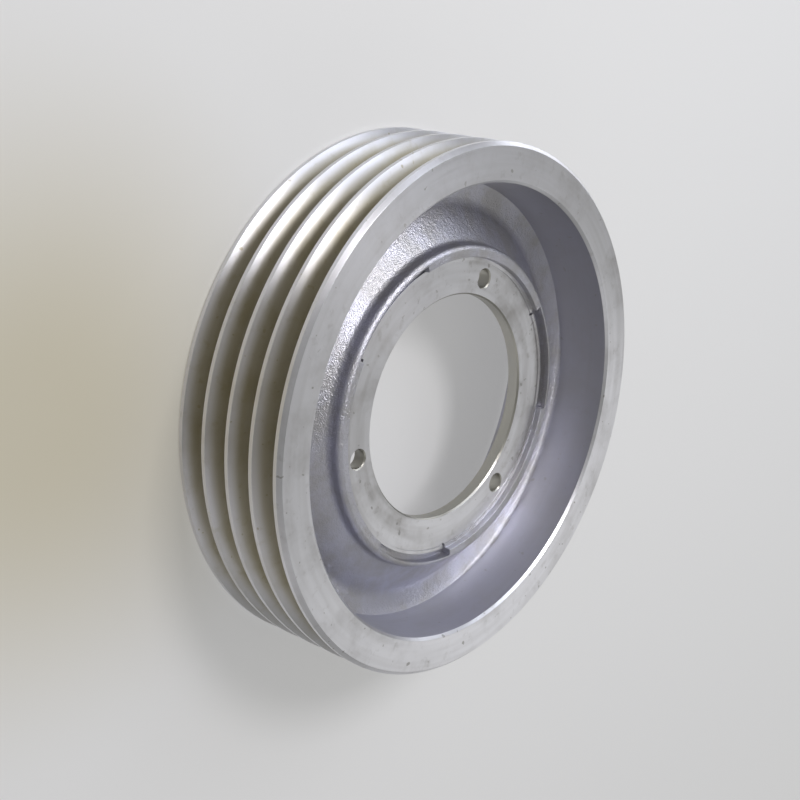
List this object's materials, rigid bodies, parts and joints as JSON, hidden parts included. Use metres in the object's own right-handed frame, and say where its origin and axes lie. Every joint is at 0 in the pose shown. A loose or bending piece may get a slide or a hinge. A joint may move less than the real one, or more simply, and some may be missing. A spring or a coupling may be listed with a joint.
{
  "type": "pulley",
  "caption": "One-piece cast pulley with V-grooves for belts round its rim, a dished web and a bored hub flange with bolt holes and curved pockets.",
  "frame": {"origin": "centre of the back end, where the axis meets the plane that the wheel lies on", "axes": "+Z along the wheel's axis, out of the dished front; one bolt hole lies towards -Y"},
  "size_m": [0.33, 0.33, 0.0815],
  "materials": {
    "casting": "bare casting, turned on the tread, rim ends, rim wall and hub face, rough-cast elsewhere"
  },
  "bodies": {
    "root": {"pulley": "casting"}
  },
  "joints": []
}
